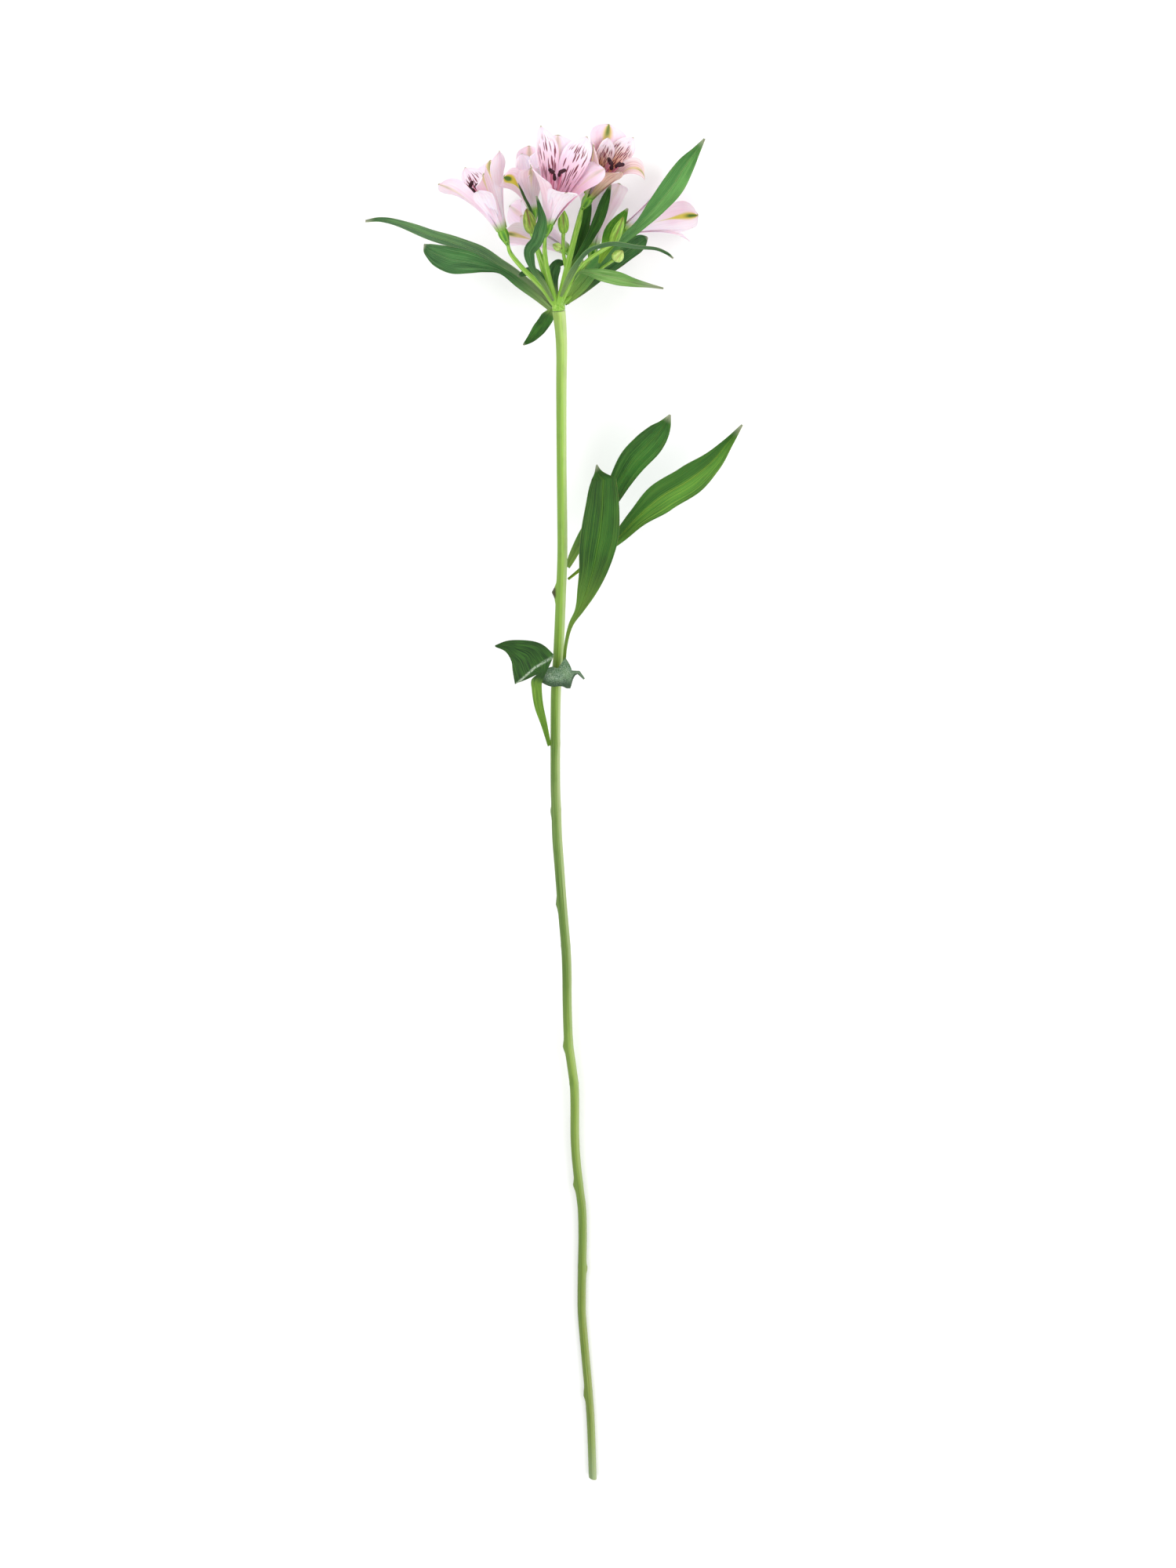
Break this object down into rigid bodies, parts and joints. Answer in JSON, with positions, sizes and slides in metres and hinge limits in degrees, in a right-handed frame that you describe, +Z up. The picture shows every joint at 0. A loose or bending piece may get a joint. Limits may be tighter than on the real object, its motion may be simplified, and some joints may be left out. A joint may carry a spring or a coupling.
{
  "type": "alstroemeria stem",
  "caption": "Cut Peruvian lily stem lying on its side, with an umbel of pale pink funnel-shaped blooms, green buds and narrow twisted leaves.",
  "frame": {"origin": "middle of the whole stem's footprint, on the surface that it lies on", "axes": "+Y along the stem from the cut end to the blooms, +Z up off the surface, +X to the right seen from above"},
  "size_m": [0.17, 0.7, 0.0823],
  "materials": {
    "stem": "satin",
    "stalk": "satin",
    "leaf": "satin",
    "petal": "satin",
    "stamen": "matte",
    "bud": "satin"
  },
  "bodies": {
    "root": {"stem": "stem", "umbel_stalks": "stalk", "bloom_left_petals": "petal", "bloom_left_stamens": "stamen", "bloom_center_petals": "petal", "bloom_center_stamens": "stamen", "bloom_upper_right_petals": "petal", "bloom_upper_right_stamens": "stamen", "bloom_center_back_petals": "petal", "bloom_center_back_stamens": "stamen", "bloom_low_left_petals": "petal", "bloom_low_left_stamens": "stamen", "bloom_right_petals": "petal", "bloom_right_stamens": "stamen", "bloom_low_center_petals": "petal", "bloom_low_center_stamens": "stamen", "bud_left": "bud", "bud_center": "bud", "bud_right": "bud", "bud_small_left": "bud", "bud_small_right": "bud", "bud_dark": "bud", "leaf_low_left": "leaf", "leaf_low_curl": "leaf", "leaf_mid_front": "leaf", "leaf_mid_right": "leaf", "leaf_mid_back": "leaf", "leaf_left_long": "leaf", "leaf_left_broad": "leaf", "leaf_left_down": "leaf", "leaf_right_big": "leaf", "leaf_right_low": "leaf", "leaf_right_arch": "leaf", "leaf_back_right": "leaf", "leaf_center_front": "leaf", "leaf_left_small": "leaf", "leaf_center_back": "leaf", "bract_left": "leaf", "leaf_upper_center": "leaf", "leaf_upper_right": "leaf", "bract_right": "leaf"}
  },
  "joints": []
}
